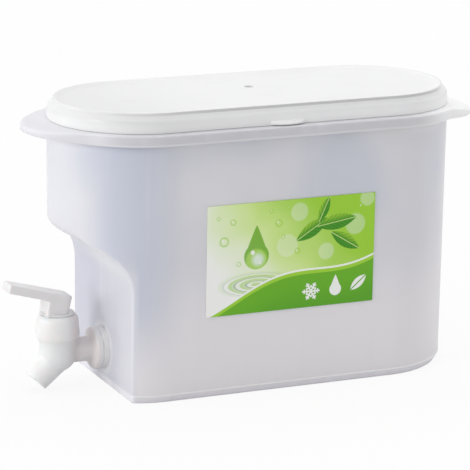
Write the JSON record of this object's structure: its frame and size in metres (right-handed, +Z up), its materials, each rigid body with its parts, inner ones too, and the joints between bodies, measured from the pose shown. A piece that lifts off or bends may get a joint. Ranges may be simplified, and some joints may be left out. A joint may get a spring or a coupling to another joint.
{
  "type": "fridge water jug with tap",
  "caption": "Long round-ended fridge water jug with a lift-off lid, a rim with ears at both ends, and a tap in a recess whose lever turns a hollow valve plug.",
  "frame": {"origin": "middle of the flat base, on the surface that the jug stands on", "axes": "+Z up, -X from the middle towards the tap, -Y from the middle towards the label"},
  "size_m": [0.3179, 0.1256, 0.1836],
  "materials": {
    "milky_plastic": "milky, cloudy, faintly blue food-grade plastic with a soft sheen",
    "white_plastic": "white moulded plastic with a soft sheen",
    "label_film": "printed film, white to green",
    "tap_plastic": "white moulded plastic, smooth",
    "valve_plastic": "off-white moulded plastic, smooth",
    "clear_rubber": "cloudy silicone rubber"
  },
  "bodies": {
    "jug": {"container": "milky_plastic", "label": "label_film", "tap_body": "tap_plastic", "outer_gasket": "clear_rubber", "inner_gasket": "clear_rubber", "tap_nut": "tap_plastic"},
    "lid": {"lid": "white_plastic"},
    "tap_handle": {"tap_lever": "tap_plastic", "tap_plug": "valve_plastic", "plug_seal": "clear_rubber"}
  },
  "joints": [
    {"name": "lid_lift", "type": "slide", "parent": "jug", "child": "lid", "axis": [0, 0, 1], "range_m": [0, 0.06]},
    {"name": "lever_turn", "type": "hinge", "parent": "jug", "child": "tap_handle", "pos_m": [-0.1305, 0, 0.0484], "axis": [0, 0, 1], "range_deg": [0, 90]}
  ]
}
